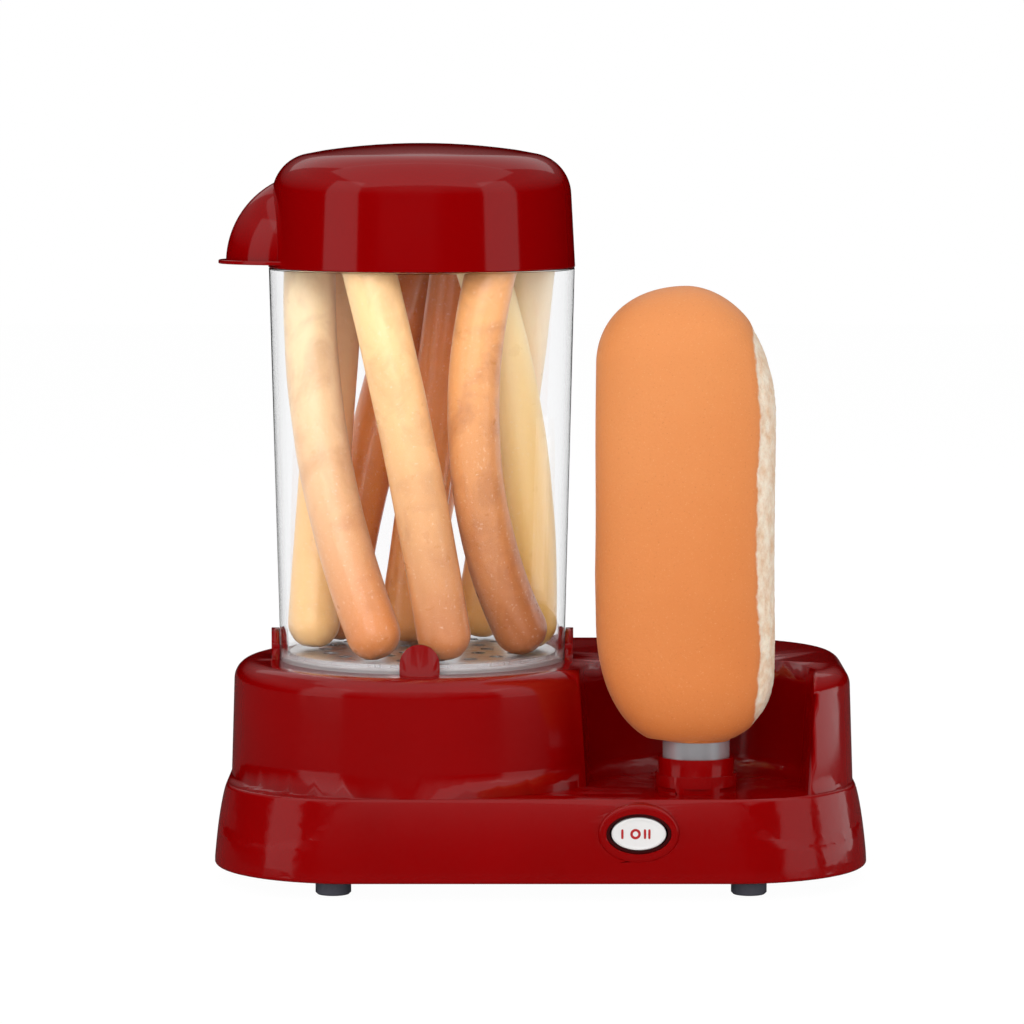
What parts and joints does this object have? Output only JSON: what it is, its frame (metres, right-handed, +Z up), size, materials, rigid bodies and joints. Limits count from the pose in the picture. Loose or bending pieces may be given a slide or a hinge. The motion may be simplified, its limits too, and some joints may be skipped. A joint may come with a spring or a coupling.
{
  "type": "hot dog toaster",
  "caption": "Table-top hot dog toaster: red base with rocker switch, clear lidded steam cup of sausages, heated spike for a bun.",
  "frame": {"origin": "under the middle of the base, on the plane that the feet stand on", "axes": "+X to the right seen from the front, +Y to the rear, +Z up; the switch faces -Y and the cord entry +Y"},
  "size_m": [0.2596, 0.1646, 0.2926],
  "materials": {
    "red_plastic": "glossy, injection moulded",
    "dark_red_plastic": "satin, moulded",
    "black_plastic": "matt, moulded",
    "grey_rubber": "soft, matt",
    "white_plastic": "satin",
    "natural_plastic": "natural nylon",
    "brushed_aluminium": "bright, drawn",
    "steel": "plain",
    "brass": "plain",
    "silicone": "translucent grey",
    "wire_jacket": "silicone jacket",
    "clear_glass": "clear, polished",
    "sausage": "moist skin",
    "bun": "baked crust"
  },
  "bodies": {
    "base": {"base_housing": "red_plastic", "bottom_plate": "black_plastic", "foot_front_left": "grey_rubber", "foot_front_right": "grey_rubber", "foot_rear_left": "grey_rubber", "foot_rear_right": "grey_rubber", "base_screws": "steel", "heater_dish": "steel", "dish_gasket": "silicone", "dish_screws": "steel", "heat_spreader": "brushed_aluminium", "heating_element": "steel", "element_clamp": "steel", "thermostat": "steel", "thermal_fuse": "brass", "spike_tube": "brushed_aluminium", "spike_collar": "red_plastic", "spike_flange": "steel", "spike_screws": "steel", "spike_heater": "steel", "switch_frame": "dark_red_plastic", "switch_body": "black_plastic", "switch_terminals": "brass", "cord_gland": "black_plastic", "gland_nut": "black_plastic", "terminal_block": "natural_plastic", "heater_wire": "wire_jacket", "switch_wire": "wire_jacket", "spike_wire": "wire_jacket"},
    "rocker": {"rocker": "white_plastic"},
    "cup": {"cup": "clear_glass"},
    "rack": {"rack_plate": "steel", "sausage_01": "sausage", "sausage_02": "sausage", "sausage_03": "sausage", "sausage_04": "sausage", "sausage_05": "sausage", "sausage_06": "sausage", "sausage_07": "sausage", "sausage_08": "sausage", "sausage_09": "sausage"},
    "lid": {"lid": "red_plastic"},
    "bun": {"bun": "bun"}
  },
  "joints": [
    {"name": "rocker_tilt", "type": "hinge", "parent": "base", "child": "rocker", "pos_m": [0.0377, -0.0793, 0.0268], "axis": [0, 0, 1], "range_deg": [-10, 10]},
    {"name": "cup_lift", "type": "slide", "parent": "base", "child": "cup", "axis": [0, 0, 1], "range_m": [0, 0.06]},
    {"name": "rack_lift", "type": "slide", "parent": "cup", "child": "rack", "axis": [0, 0, 1], "range_m": [0, 0.18]},
    {"name": "lid_lift", "type": "slide", "parent": "rack", "child": "lid", "axis": [0, 0, 1], "range_m": [0, 0.1]},
    {"name": "bun_lift", "type": "slide", "parent": "base", "child": "bun", "axis": [0, 0, 1], "range_m": [0, 0.15]}
  ]
}
